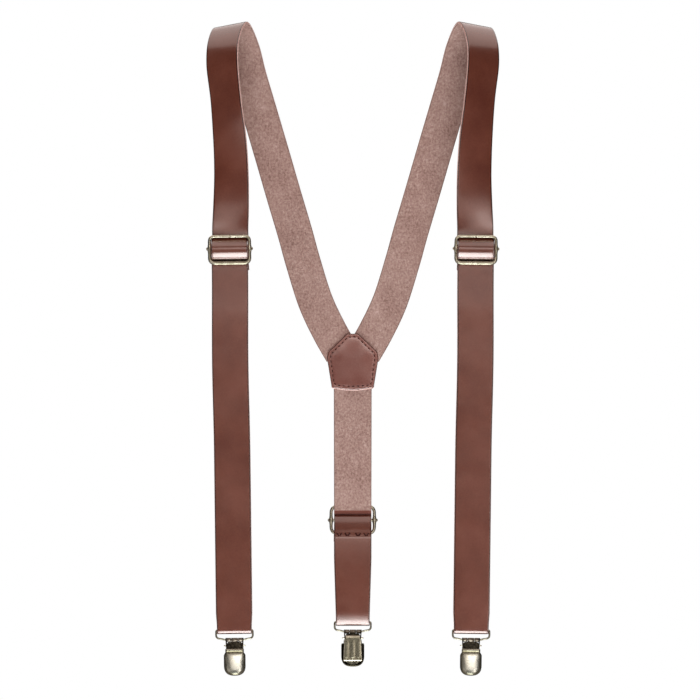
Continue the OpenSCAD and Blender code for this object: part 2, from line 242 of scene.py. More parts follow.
def rounded(corners, n):
    """A closed outline with its corners rounded: each corner is x, z and its radius."""
    out = []
    for i, (x, z, r) in enumerate(corners):
        here = Vector((x, z))
        before, after = Vector(corners[i - 1][:2]) - here, Vector(corners[(i + 1) % len(corners)][:2]) - here
        if r <= 0:
            out.append((x, z))
            continue
        half = before.angle(after) / 2
        reach = min(r / math.tan(half), before.length * 0.49, after.length * 0.49)
        start, end = here + before.normalized() * reach, here + after.normalized() * reach
        for k in range(n + 1):
            f = k / n
            q = start * (1 - f) ** 2 + here * 2 * f * (1 - f) + end * f * f
            out.append((q.x, q.y))
    return out


def resample(outline, step):
    """The closed outline with points step apart."""
    return evenly(np.array([*outline, outline[0]], float), step)[:-1]


def bevel(ob, width, degrees):
    """Bevels a piece's hard edges by thousandths of a millimetre in place, which only softens their shading."""
    m = ob.modifiers.new("round", "BEVEL")
    m.width, m.segments, m.limit_method, m.angle_limit = width * MM, 2, "ANGLE", math.radians(degrees)
    return apply_modifiers(ob)


def apply_modifiers(ob):
    """Makes a piece's modifiers part of its mesh."""
    pick(ob)
    for m in list(ob.modifiers):
        bpy.ops.object.modifier_apply(modifier=m.name)
    return ob


def extruded(name, outline, x0, x1, mats):
    """A plate from an outline in y and z, in the clip's frame, from x0 to x1."""
    return skinned(name, [[(x, y, z) for y, z in outline] for x in (x0, x1)], mats, smooth=False)


def lathe_x(name, profile, mats, sides=24):
    """Turned about the x axis: the profile is x and radius from end to end."""
    rings = [[(x, r * math.cos(a), r * math.sin(a)) for a in np.linspace(0, 2 * math.pi, sides, endpoint=False)]
             for x, r in profile]
    return skinned(name, rings, mats)


def wire_tube(name, path, radius, patina_and_shade, sides):
    """Wire round a closed path in x and z. radius(x, z) gives its half width in the plane and half depth, and the
    last function how dark it is at a height, from patina and from painted shade."""
    d = np.roll(path, -1, 0) - np.roll(path, 1, 0)
    d /= np.linalg.norm(d, axis=1)[:, None]
    rings = []
    for (x, z), (dx, dz) in zip(path, d):
        wide, deep = radius(x, z)
        rings.append([(x - dz * wide * math.cos(a), deep * math.sin(a), z + dx * wide * math.cos(a))
                      for a in np.linspace(0, 2 * math.pi, sides, endpoint=False)])
    dark = [patina_and_shade(z) for ring in rings for _, _, z in ring]
    return skinned(name, rings, [BRASS], True, point_values={"patina_and_shade": dark})


def place(ob, matrix):
    """Brings a piece drawn in a leg's or a clip's frame into the shared frame, in its mesh."""
    ob.data.transform(matrix)
    if matrix.determinant() < 0:
        ob.data.flip_normals()


def settle(ob, matrix, body, node):
    """Puts a piece in place, on its body and for the node it replaces."""
    place(ob, matrix)
    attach(ob, body)
    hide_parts(node)


def from_metres(matrix):
    """A leg's frame for points that are already in metres."""
    return matrix @ Matrix.Scale(1 / MM, 4)


# --- Materials ---
def srgb(r, g, b):
    """Linear colour from the eight-bit display values."""
    return tuple(((c / 255 + 0.055) / 1.055) ** 2.4 if c > 10 else c / 255 / 12.92 for c in (r, g, b)) + (1,)


class Nodes:
    """A material's node tree, built a line at a time."""

    def __init__(self, name, roughness=0.5, metallic=0.0, **sockets):
        self.mat = bpy.data.materials.new(name)
        self.mat.use_nodes = True
        self.tree = self.mat.node_tree
        self.shader = self.tree.nodes["Principled BSDF"]
        for key, value in {"Roughness": roughness, "Metallic": metallic, **sockets}.items():
            self.shader.inputs[key.replace("_", " ")].default_value = value
        self.place = self.value_of("ShaderNodeTexCoord", "Object")

    def feed(self, socket, value):
        """Links another node's output to a socket, or sets the socket to a plain value."""
        if isinstance(value, bpy.types.NodeSocket):
            self.tree.links.new(value, socket)
        else:
            socket.default_value = value

    def value_of(self, kind, out, **inputs):
        """An output of a new node with its inputs by name."""
        node = self.tree.nodes.new(kind)
        for key, value in inputs.items():
            self.feed(node.inputs[key.replace("_", " ")], value)
        return node.outputs[out]

    def scaled(self, x, y, z):
        """The place on the object, stretched before a texture reads it."""
        return self.value_of("ShaderNodeMapping", "Vector", Vector=self.place, Scale=(x, y, z))

    def noise(self, scale, detail=3.0, rough=0.55, where=None):
        return self.value_of("ShaderNodeTexNoise", "Fac", Vector=where or self.place, Scale=scale, Detail=detail,
                             Roughness=rough)

    def cells(self, scale, where):
        return self.value_of("ShaderNodeTexVoronoi", "Distance", Vector=where, Scale=scale)

    def attribute(self, name):
        """A value that the mesh holds at each point."""
        node = self.tree.nodes.new("ShaderNodeAttribute")
        node.attribute_name = name
        return node.outputs["Fac"]

    def ramp(self, fac, *stops):
        """Colours by position; each stop is its position and colour."""
        node = self.tree.nodes.new("ShaderNodeValToRGB")
        while len(node.color_ramp.elements) < len(stops):
            node.color_ramp.elements.new(0.5)
        for e, (at, colour) in zip(node.color_ramp.elements, stops):
            e.position, e.color = at, colour
        self.feed(node.inputs["Fac"], fac)
        return node.outputs["Color"]

    def span(self, fac, low, high, out_low=0.0, out_high=1.0):
        """A value that goes smoothly from out_low to out_high while fac goes from low to high."""
        node = self.tree.nodes.new("ShaderNodeMapRange")
        node.interpolation_type = "SMOOTHSTEP"
        keys = ("Value", "From Min", "From Max", "To Min", "To Max")
        for key, value in zip(keys, (fac, low, high, out_low, out_high)):
            self.feed(node.inputs[key], value)
        return node.outputs["Result"]

    def math(self, op, a, b):
        node = self.tree.nodes.new("ShaderNodeMath")
        node.operation = op
        for socket, value in zip(node.inputs, (a, b)):
            self.feed(socket, value)
        return node.outputs[0]

    def mix(self, fac, a, b):
        """The colour a where fac is 0 and b where it is 1."""
        node = self.tree.nodes.new("ShaderNodeMix")
        node.data_type = "RGBA"
        for index, value in ((0, fac), (6, a), (7, b)):
            self.feed(node.inputs[index], value)
        return node.outputs[2]

    def colour(self, output):
        self.feed(self.shader.inputs["Base Color"], output)

    def roughness(self, output):
        self.feed(self.shader.inputs["Roughness"], output)

    def bump(self, *layers):
        """Each layer is a height and its depth in millimetres, the finest last."""
        normal = None
        for height, depth in layers:
            node = self.tree.nodes.new("ShaderNodeBump")
            node.inputs["Strength"].default_value = 1.0
            node.inputs["Distance"].default_value = depth * MM
            self.feed(node.inputs["Height"], height)
            if normal is not None:
                self.feed(node.inputs["Normal"], normal)
            normal = node.outputs["Normal"]
        self.feed(self.shader.inputs["Normal"], normal)
        return self.mat


def grain_leather(name, base, deep, light):
    """Lacquered grain side: fine pebbled grain, slow colour drift, darker rubbed edges, uneven polish, and
    near-black painted shade behind the adjuster's bottom bar and under the strap's turn.
    """
    n = Nodes(name, 0.3, IOR=1.5, Specular_IOR_Level=1.0, Specular_Tint=(1, 0.72, 0.64, 1), Coat_Weight=1.0,
              Coat_Roughness=0.16, Coat_IOR=1.4)
    drift = n.noise(38, 3, 0.5)
    fine = n.noise(900, 4, 0.6)
    tone = n.ramp(n.math("ADD", n.math("MULTIPLY", drift, 0.7), n.math("MULTIPLY", fine, 0.3)),
                  (0.34, deep), (0.5, base), (0.68, light))
    rim = n.span(n.attribute("across"), 0.92, 0.99)
    edged = n.mix(n.math("MULTIPLY", rim, 0.85), tone, srgb(44, 14, 10))
    # Painted shade: near-black where the strap passes behind the adjuster's bottom bar and under its turn round the
    # wire
    n.colour(n.mix(n.attribute("grain_painted_shade"), edged, srgb(22, 8, 6)))
    n.roughness(n.span(n.noise(160, 4, 0.6), 0.3, 0.75, 0.23, 0.27))
    pores = n.cells(2400, n.scaled(1, 1, 0.8))
    return n.bump((n.noise(70, 2), 0.12), (pores, 0.012), (n.noise(2200, 3), 0.01))


def suede_leather():
    """Flesh side: mottled short nap, pinkish brown, with fibres a little darker in the dips, and painted shade in
    darker red-brown where the strap bends away inside the adjuster.
    """
    n = Nodes("suede_leather", 0.95, Specular_IOR_Level=0.12, Sheen_Weight=0.35, Sheen_Roughness=0.5,
              Sheen_Tint=srgb(222, 190, 182))
    mottle = n.noise(620, 5, 0.72)
    cloud = n.noise(75, 3, 0.6)
    fibre = n.noise(420, 3, 0.6, n.scaled(2.6, 2.6, 0.8))
    mixed = n.math("ADD", n.math("MULTIPLY", mottle, 0.6),
                   n.math("ADD", n.math("MULTIPLY", cloud, 0.2), n.math("MULTIPLY", fibre, 0.2)))
    nap = n.ramp(mixed, (0.34, srgb(115, 83, 75)), (0.46, srgb(151, 117, 108)), (0.54, srgb(167, 134, 124)),
                 (0.66, srgb(191, 160, 151)))
    rim = n.span(n.attribute("across"), 0.955, 0.995)
    edged = n.mix(n.math("MULTIPLY", rim, 0.75), nap, srgb(104, 84, 78))
    # Painted shade: darker red-brown on the flesh side where the strap bends away inside the adjuster
    n.colour(n.mix(n.attribute("flesh_painted_shade"), edged, srgb(104, 56, 47)))
    return n.bump((cloud, 0.15), (mottle, 0.25), (n.noise(1800, 4, 0.7), 0.05))


def raw_edge():
    """Cut edge of the leather: pale pink, with the layers of fibre showing."""
    n = Nodes("raw_edge", 0.8, Specular_IOR_Level=0.25)
    layers = n.noise(900, 4, 0.65)
    n.colour(n.ramp(layers, (0.35, srgb(190, 142, 132)), (0.55, srgb(224, 184, 174)), (0.75, srgb(240, 212, 204))))
    return n.bump((layers, 0.08))


def dark_edge():
    """Painted and burnished edge."""
    n = Nodes("dark_edge", 0.65, Specular_IOR_Level=0.2)
    n.colour(n.ramp(n.noise(500, 3), (0.35, srgb(48, 20, 17)), (0.7, srgb(84, 42, 36))))
    return n.bump((n.noise(900, 3), 0.04))


def thread():
    """Waxed twisted thread."""
    n = Nodes("thread", 0.9, Specular_IOR_Level=0.05)
    twist = n.value_of("ShaderNodeTexWave", "Fac", Vector=n.place, Scale=900.0, Distortion=1.5)
    n.colour(n.ramp(twist, (0.1, srgb(36, 14, 12)), (0.9, srgb(74, 33, 28))))
    return n.bump((twist, 0.05))


def antique_brass(name, base, high, low):
    """Antiqued plating: dark in the hollows, rubbed bright on the high spots, faintly brushed, with painted shade
    and a painted highlight where a piece holds them.
    """
    n = Nodes(name, 0.3, 1.0)
    blotch = n.noise(260, 4, 0.62)
    speck = n.noise(1500, 3, 0.6)
    shade = n.math("ADD", n.math("MULTIPLY", blotch, 0.6), n.math("MULTIPLY", speck, 0.4))
    wear_and_shade = n.span(n.value_of("ShaderNodeNewGeometry", "Pointiness"), 0.47, 0.56)
    tone = n.ramp(n.math("ADD", n.math("MULTIPLY", shade, 0.7), n.math("MULTIPLY", wear_and_shade, 0.3)),
                  (0.3, low), (0.5, base), (0.74, high))
    # Brighter by the polish and the painted highlight that the dome holds
    bright = n.mix(n.attribute("polished_and_highlit"), tone, srgb(242, 236, 220))
    # Darker by the patina and the painted shade that a piece holds
    n.colour(n.mix(n.attribute("patina_and_shade"), bright, srgb(62, 54, 36)))
    n.roughness(n.span(blotch, 0.3, 0.75, 0.34, 0.24))
    return n.bump((n.noise(420, 2), 0.008), (n.noise(2600, 2), 0.004))


def dark_steel(name, low, high):
    """Blackened steel, by its darkest and lightest colour; its lighter copy stands in for a painted highlight."""
    n = Nodes(name, 0.42, 1.0)
    n.colour(n.ramp(n.noise(600, 4), (0.35, low), (0.75, high)))
    return n.bump((n.noise(900, 3), 0.02))


def grip_rubber():
    """Black rubber with a dull, dusty face."""
    n = Nodes("grip_rubber", 0.7)
    n.colour(n.ramp(n.noise(700, 3), (0.3, srgb(20, 18, 17)), (0.75, srgb(48, 44, 42))))
    return n.bump((n.noise(1500, 3), 0.03))


GRAIN = grain_leather("grain_leather", srgb(96, 47, 34), srgb(86, 38, 26), srgb(106, 56, 43))
PATCH = grain_leather("patch_leather", srgb(118, 69, 60), srgb(105, 57, 49), srgb(131, 82, 73))
SUEDE, RAW, DARK, THREAD = suede_leather(), raw_edge(), dark_edge(), thread()
BRASS = antique_brass("antique_brass", srgb(166, 155, 132), srgb(220, 209, 190), srgb(102, 91, 72))
STEEL = dark_steel("dark_steel", srgb(34, 29, 24), srgb(84, 76, 62))
# A lighter copy of the dark steel for the knuckles and the jaw's roll: painted highlight
HIGHLIGHT_STEEL = dark_steel("steel_painted_highlight", srgb(96, 84, 74), srgb(160, 146, 130))
RUBBER = grip_rubber()
STRAP_MATS = [GRAIN, DARK, RAW, SUEDE]


# --- Straps ---
def strap_profile():
    """The strap's section: share of the half width, further distance outwards, height towards the grain side and
    the material of the face that follows (0 grain, 1 dark edge, 2 raw edge, 3 suede)."""
    t = STRAP_T / 2
    grain = [(k, 0, t, 0) for k in (-0.86, -0.5, 0, 0.5, 0.86)]
    right = [(1, -0.5, t - 0.02, 0), (1, -0.2, t - 0.07, 1), (1, -0.05, t - 0.18, 2), (1, 0, t - 0.34, 2),
             (1, 0, -t + 0.22, 2), (1, -0.08, -t + 0.06, 3), (1, -0.3, -t, 3)]
    back = [(k, 0, -t, 3) for k in (0.86, 0.4, -0.4, -0.86)]
    left = [(-1, 0.3, -t, 3), (-1, 0.08, -t + 0.06, 2), (-1, 0, -t + 0.22, 2), (-1, 0, t - 0.34, 2),
            (-1, 0.05, t - 0.18, 1), (-1, 0.2, t - 0.07, 0), (-1, 0.5, t - 0.02, 0)]
    return grain + right + back + left


PROFILE = strap_profile()


def strap_mesh(name, stations):
    """A strap from stations: middle, across and grain direction (unit vectors), width, inner width limit and how
    much painted shade darkens its flesh and its grain side there."""
    rings, across, flesh_painted_shade, grain_painted_shade = [], [], [], []
    for c, a, g, w, reach, dark in stations:
        ring = []
        for k, more, v, _ in PROFILE:
            u = k * w / 2 + more
            ring.append((c + a * min(u, reach + more) + g * v) * MM)
            across.append(abs(k))
            flesh_painted_shade.append(dark[0])
            grain_painted_shade.append(dark[1])
        rings.append(ring)
    face_mats = [m for *_, m in PROFILE] * (len(rings) - 1) + [2, 2]
    ob = skinned(name, rings, STRAP_MATS, face_mats=face_mats,
                 point_values={"across": across, "flesh_painted_shade": flesh_painted_shade, "grain_painted_shade": grain_painted_shade})
    for f in ob.data.polygons[-2:]:
        f.use_smooth = False
    return sharpen(ob, 60)


def smooth_step(f):
    """0 to 1 with level ends."""
    f = max(0.0, min(1.0, f))
    return f * f * (3 - 2 * f)


def wave(s, seed, size):
    """A slow unevenness along a strap."""
    return size * (math.sin(s / 23 + seed) + 0.6 * math.sin(s / 11.3 + 2.1 * seed) + 0.3 * math.sin(s / 5.9 + seed))


def shoulder_piece(side):
    """From the patch over the shoulder to the adjuster."""
    path = evenly(spline(LEFT_ROUTE, 8), STATION_STEP)
    stations = []
    length = STATION_STEP * (len(path) - 1)
    for i, (p, h) in enumerate(zip(path, headings(path))):
        turn = math.radians(p[3])
        flat = np.array((math.cos(turn), -math.sin(turn), 0))
        a = flat - (flat @ h) * h
        a /= np.linalg.norm(a)
        grain = -np.cross(a, h)
        bank = math.radians(BANK) * smooth_step((p[2] - BANK_Z) / -BANK_Z)
        a, grain = a * math.cos(bank) + grain * math.sin(bank), grain * math.cos(bank) - a * math.sin(bank)
        s = STATION_STEP * i
        ease = min(1, s / 40, (length - s) / 30)
        swell = -SHOULDER_HOLLOW * math.sin(math.pi * min(1, max(0, (-50 - p[2]) / 97))) ** 2 if p[1] < -15 else 0
        c = p[:3] + grain * (swell + wave(s, 1.3 if side == "left" else 4.1, 0.1 * ease))
        reach = (-MEET_X - c[0]) / a[0]
        width = np.interp(length - s, (0, 40), (STRAP_W[side], SHOULDER_W))
        stations.append((c, a, grain, width, reach, (0, 0)))
    ob = strap_mesh(f"{side}_shoulder_strap", stations)
    if side == "right":
        ob.data.transform(Matrix.Scale(-1, 4, (1, 0, 0)))
        ob.data.flip_normals()
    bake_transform(ob)
    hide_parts(f"{side}_strap", f"{side}_run")


def back_piece():
    """From the patch down to the back adjuster."""
    low_m, high_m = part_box("back_strap")
    top, y = high_m[2] / MM, (low_m[1] + high_m[1]) / 2 / MM
    low = (LEG["back"] @ Vector((0, RUN_Y, SPLIT_Z))).z / MM
    stations = []
    for s in np.linspace(0, top - low, 61):
        ease = min(1, s / 30, (top - low - s) / 20)
        c = np.array((0, y + wave(s, 2.2, 0.1 * ease), top - s))
        width = np.interp(s, (0, top - low), (BACK_W, STRAP_W["back"]))
        stations.append((c, np.array((1.0, 0, 0)), np.array((0, 1.0, 0)), width, NO_LIMIT, (0, 0)))
    ob = strap_mesh("back_upper_strap", stations)
    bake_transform(ob)
    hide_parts("back_strap", "back_run")


def loop_width(side, z):
    """Width of the doubled strap at a height in the leg's frame."""
    low = -DROP[side] + 3
    return np.interp(z, [low, low + (42 if side == "back" else 9)], [TURN_W[side], STRAP_W[side]])


def loop_parts(side):
    """The looped strap's middle line in y and z, in five stretches: through the adjuster, down to the clip's wire,
    round it, up again, and over the adjuster's middle bar."""
    y0, z0 = WIRE[side].y, -DROP[side]
    weave = spline(WEAVE_ROUTE, 8)
    down = np.array([(np.interp(z, [z0 + 4, -15], [y0 - TURN_R, OUTER_Y]), z)
                     for z in np.arange(-17.5, z0 + 3, -2.5)])
    turn = np.array(arc((y0, z0), TURN_R, 180, 342 if side == "back" else 360, 19))
    up = np.array([(np.interp(z, [z0 + 4, -15], [y0 + TURN_R, INNER_Y]), z)
                   for z in [*np.arange(z0 + 0.8, z0 + 13, 1.2), *np.arange(z0 + 15, -17.5, 2.5)]])
    wrap = spline(WRAP_UP + arc((0, 0), WRAP_R, 140, 200, 4) + WRAP_DOWN, 5)
    return weave, down, turn, up, wrap


def back_belly(z, z0):
    """How far the back strap's inner layer swells: just above its turn at z0 and under the adjuster."""
    foot = 1 - max(0.0, 1 - (z - z0 + 0.6) / 9.5) ** 2
    head = 1 - max(0.0, 1 - max(0.0, -11 - z) / 26) ** 2
    return 1.25 * foot * smooth_step((-26 - z) / 30) + 1.3 * head * smooth_step((z + 66) / 40)


def looped_piece(side):
    """The strap that is doubled between the adjuster and the clip, with its sewn end."""
    y0, z0 = WIRE[side].y, -DROP[side]
    parts = loop_parts(side)
    path = np.concatenate(parts)
    weave_end, down_end, turn_end, up_end = np.cumsum([len(part) for part in parts])[:4]
    h = headings(path)
    stations, run = [], 0.0
    for i, (y, z) in enumerate(path):
        if i:
            run += float(np.linalg.norm(path[i] - path[i - 1]))
        grain = np.array((0, h[i][1], -h[i][0]))
        ease = belly = flesh = grain_shade = 0.0
        if weave_end <= i < down_end or turn_end <= i < up_end:
            ease = max(0.0, min(1, (-17 - z) / 25, (z - z0 - 3) / 18))
        if side != "back" and y < y0 and i < down_end:
            belly = FRONT_BELLY * np.interp(z, [z0 + 3, z0 + 24, z0 + 110], [0, 1, 0])
        if side == "back" and turn_end <= i < up_end + 20:
            belly = back_belly(z, z0)
        c = np.array((0, y, z)) + grain * ((0.1 + wave(run, len(side), 0.09)) * ease + belly)
        c[0] += END_SHIFT[side] * max(0.0, (i - (len(path) - END_STATIONS)) / END_STATIONS)
        if i < weave_end:
            c[0] += STRAP_SHIFT[side] * smooth_step((z - 5) / (SPLIT_Z - 5))
            # Painted shade on the flesh side, below the top bar where the strap bends away from it
            flesh = smooth_step((FLESH_SHADE_Z[side] - z) / 0.9)
            # Painted shade on the grain side: behind the bottom bar, and below on the underside of the turn round
            # the clip's wire
            grain_shade = smooth_step((-6.2 - z) / 0.4) * smooth_step((z + 10) / 0.8)
        c[0] += STRAP_BOW[side] * math.sin(math.pi * max(0.0, min(1.0, (-14 - z) / 130))) ** 2
        grain_shade = max(grain_shade, smooth_step((z0 - 1.2 - z) / 0.5))
        stations.append((c, np.array((1.0, 0, 0)), grain, float(loop_width(side, z)), NO_LIMIT, (flesh, grain_shade)))
    ob = strap_mesh(f"{side}_looped_strap", stations)
    leg = LEG[side]
    place(ob, from_metres(leg))
    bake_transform(ob)
    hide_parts(*[f"{side}_{n}" for n in ("strap_weave", "strap_wrap", "loop_outer", "loop_inner", "strap_turn")])


# --- Patches and stitches ---
PATCH_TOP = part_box("patch_inner")[1][2] / MM
PATCH_MID = np.array((0, PATCH_TOP - 20.5))
PATCH_CORNERS = [(3.8, 0, 1.2), (17.6, -13.2, 2.4), (18.2, -18, 5), (14.9, -38.3, 1.3), (0, -40.4, 60)]
PATCH_SLANT = 0.8       # its lower edge is cut at a slant, so that the back of the edge reaches this much lower
# Section of a patch from its back edge over its face to the middle: inset and height
PATCH_SECTION = [(0.2, 0), (0, 0.2), (0, 0.95), (0.1, 1.3), (0.35, 1.52), (0.8, 1.6), (1.6, 1.6), (2.0, 1.55),
                 (2.4, 1.52), (2.8, 1.56), (3.3, 1.64), (4.5, 1.74), (6.5, 1.8), (9, 1.82), (11.5, 1.83)]
STITCH_INSET, STITCH_STEP, STITCH_L, STITCH_R = 2.4, 3.4, 2.2, 0.34
# The V stitches at the strap's end: where each stands across, with the radius of its thread
END_STITCHES = ((-9.6, 0.38), (-3.75, 0.52), (3.75, 0.52), (9.6, 0.38))
END_STITCH_Y, END_STITCH_Z, END_STITCH_L = 7.42, -10.0, 3.3


def patch_outline():
    """The five-sided patch in x and z, with its point up between the shoulder straps."""
    right = [(x, PATCH_TOP + z, r) for x, z, r in PATCH_CORNERS]
    left = [(-x, z, r) for x, z, r in reversed(right[:-1])]
    return resample(rounded(right + left, 8), 0.8)


def inset(p, distance):
    """A point of the patch's outline, moved towards the patch's middle."""
    d = PATCH_MID - p
    return p + d * distance / np.linalg.norm(d)


def patch(name, back_y, out, seed):
    """A leather patch lying on the straps; out is -1 towards the wearer's front, +1 away from the back."""
    outline = patch_outline()
    rings, across = [], []
    for distance, height in PATCH_SECTION:
        ring = []
        for p in outline:
            q = inset(p, distance)
            x, z = q - PATCH_MID
            ridge = 0.16 * math.exp(-((abs(x) - 5 - 0.5 * max(0, z)) / 4) ** 2) * min(1, distance / 4)
            wobble = 0.05 * math.sin(x / 3 + seed) * math.cos(z / 4 + 2 * seed) * min(1, distance / 4)
            slant = PATCH_SLANT * smooth_step((-15.5 - z) / 1.5) * max(0, 1 - height / 0.95)
            ring.append((q[0] * MM, (back_y + out * (height + ridge + wobble)) * MM, (q[1] - slant) * MM))
            across.append(1 - min(1, distance / 1.2) * 0.2)
        rings.append(ring)
    mats = [2 if k == 1 else 1 if k < 4 else 0 for k in range(len(rings) - 1) for _ in outline] + [3, 0]
    return skinned(name, rings, [PATCH, DARK, RAW, SUEDE], face_mats=mats, point_values={"across": across})


def capsule(middle, along, out, length, r):
    """One stitch: a thread that rises from its hole, lies on the leather and goes back in."""
    side = np.cross(along, out)
    rings = []
    for f in np.linspace(-1, 1, 9):
        thin = r * math.sqrt(max(0.04, 1 - abs(f) ** 4))
        centre = middle + along * f * length / 2 + out * (0.45 * r - 1.5 * r * abs(f) ** 3)
        rings.append([(centre + side * thin * math.cos(a) + out * 0.8 * thin * math.sin(a)) * MM
                      for a in np.linspace(0, 2 * math.pi, 8, endpoint=False)])
    return skin(rings)


def many(name, parts, mats):
    """One piece from several closed shells."""
    verts, faces = [], []
    for v, f in parts:
        faces += [tuple(i + len(verts) for i in face) for face in f]
        verts += v
    return mesh_object(name, verts, faces, mats)


def patch_stitch_parts(back_y, out):
    """Saddle stitches round a patch."""
    line = np.array([inset(p, STITCH_INSET) for p in patch_outline()])
    line = resample(line, STITCH_STEP)
    parts = []
    for i, p in enumerate(line):
        q = line[(i + 1) % len(line)]
        d = (q - p) / np.linalg.norm(q - p)
        along = np.array((d[0], 0, d[1]))
        x, z = (p + q) / 2
        middle = np.array((x, back_y + out * 1.52, z))
        parts.append(capsule(middle, along, np.array((0.0, out, 0)), STITCH_L, STITCH_R))
    return parts


def make_patches():
    """The patch's two leaves and the thread through both."""
    inner_y, outer_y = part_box("patch_inner")[1][1] / MM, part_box("patch_outer")[0][1] / MM
    for name, y, out, seed in (("patch_inner", inner_y, -1, 0.4), ("patch_outer", outer_y, 1, 2.9)):
        ob = patch(f"leather_{name}", y, out, seed)
        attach(ob, "root")
        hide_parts(name)
    sewn = many("patch_thread", patch_stitch_parts(inner_y, -1) + patch_stitch_parts(outer_y, 1), [THREAD])
    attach(sewn, "root")
    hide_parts("patch_stitches")


def make_end_stitches(side):
    """A row of V-shaped stitches that holds the strap's end under the adjuster."""
    parts = []
    for x, r in END_STITCHES:
        for way in (-1, 1):
            along = np.array((way * 0.6, -0.17, 0.8))
            middle = np.array((x + way, END_STITCH_Y, END_STITCH_Z))
            parts.append(capsule(middle, along / np.linalg.norm(along), np.array((0, 1.0, 0)), END_STITCH_L, r))
    ob = many(f"{side}_end_thread", parts, [THREAD])
    settle(ob, from_metres(LEG[side]), f"{side}_slider", f"{side}_end_stitches")


# --- Adjuster ---
# Heights of the top and bottom bars, the bottom bar's radius, the corners' radii and half the width
FRONT_BARS = (8.65, -9.9, 1.4, 3.6, 4.2, 14.0)
FRAME_BARS = {"left": FRONT_BARS, "right": FRONT_BARS, "back": (9.9, -9.5, 1.1, 5.0, 5.0, 15.4)}
FRAME_R = 1.12


def frame_wire(side):
    """The adjuster's bent frame, flattened into an eye where the middle bar's ends are riveted."""
    top, low, low_r, top_corner, low_corner, half = FRAME_BARS[side]
    corners = [(half, top, top_corner), (half, low, low_corner), (-half, low, low_corner), (-half, top, top_corner)]
    path = resample(rounded(corners, 10), 0.45)

    def radius(x, z):
        r = FRAME_R + (low_r - FRAME_R) * max(0.0, min(1.0, (low + 4.4 - z) / 3.5))
        eye = 0.5 * math.exp(-((z / 1.9) ** 2)) if abs(x) > half - 1 else 0
        seam = 0.22 * math.exp(-((x / 0.22) ** 2)) if z > top - 0.5 else 0
        return r + eye - seam, r + 0.5 * eye - seam

    # The bottom bar's lower half is painted darker as painted shade; the rest of the frame has a light patina
    ob = wire_tube(f"{side}_adjuster_frame", path, radius, lambda z: 0.6 if z < low else 0.15, 18)
    settle(ob, LEG[side], f"{side}_slider", f"{side}_slider_frame")


def middle_bar(side):
    """The bar the strap's end is sewn round, with its ends riveted over outside the frame."""
    neck, r, half = 0.55, 1.08, FRAME_BARS[side][-1]
    end = [(half + 2.35, 0.02), (half + 2.3, 0.5), (half + 2.05, 0.95), (half + 1.75, 1.15), (half + 1.45, 1.05),
           (half + 1.4, neck), (half - 1.5, neck), (half - 1.7, r)]
    profile = [(-x, y) for x, y in end] + [(0, r)] + end[::-1]
    ob = sharpen(lathe_x(f"{side}_adjuster_bar", profile, [BRASS]), 40)
    settle(ob, LEG[side], f"{side}_slider", f"{side}_slider_bar")


# --- Clip ---
WIRE_R, WIRE_HALF = 0.65, 12.85
KNUCKLE_R, BORE_R = 1.45, 0.7
KNUCKLE_IN, CHEEK_IN, CHEEK_OUT = 2.5, 5.5, 6.3
SHEET = 0.8             # thickness of the dome's metal
LEVER_T, FLUTE_DEEP, FLUTE_GAP = 0.84, 0.16, 4.3
DOME_HALF = {"left": 7.6, "right": 7.6, "back": 8.2}
DOME_TOP, DOME_LOW, DOME_MID, DOME_FRONT, RIM_Y = -15.3, -31.9, -22.5, -4.6, -1.4
# How much narrower the dome is at its top, the top corners' radius, and the height and radius where it widens
FRONT_CORNER = (1.3, 0.9, -17.4, 1.2)
DOME_CORNER = {"left": FRONT_CORNER, "right": FRONT_CORNER, "back": (0.3, 0.6, -16.5, 2)}


def in_clip(ob, side, body, node):
    """Puts a piece drawn in the clip's frame in place on its body."""
    settle(ob, CLIP[side], f"{side}_{body}", f"{side}_{node}")


def hanger(side):
    """The wire D that hangs in the strap's loop; its lower bar dips into the clip's knuckles."""
    w, z = WIRE_HALF, -WIRE_DROP
    right = [(w, 0, 1.3), (w, z + 1.3, 4.6), (CHEEK_OUT + 2.2, z + 0.6, 2), (CHEEK_OUT, z, 0.8)]
    path = resample(rounded(right + [(-x, height, r) for x, height, r in right[::-1]], 10), 0.3)
    ob = wire_tube(f"{side}_clip_wire", path, lambda x, z: (WIRE_R, WIRE_R), lambda z: 0.55, 14)
    in_clip(ob, side, "wire", "hanger_wire")


def ring_x(name, x0, x1, outer, inner, mats):
    """A short tube along x with eased edges."""
    e = 0.12
    loop = [(x0, inner + e), (x0 + e, inner), (x1 - e, inner), (x1, inner + e), (x1, outer - e), (x1 - e, outer),
            (x0 + e, outer), (x0, outer - e)]
    rings = [[(x, r * math.cos(a), r * math.sin(a)) for x, r in loop]
             for a in np.linspace(0, 2 * math.pi, 28, endpoint=False)]
    return skinned(name, rings, mats, True)


def moved(ob, x=0, y=0, z=0):
    """Shifts a piece in its own mesh."""
    ob.data.transform(Matrix.Translation((x, y, z)))
    return ob


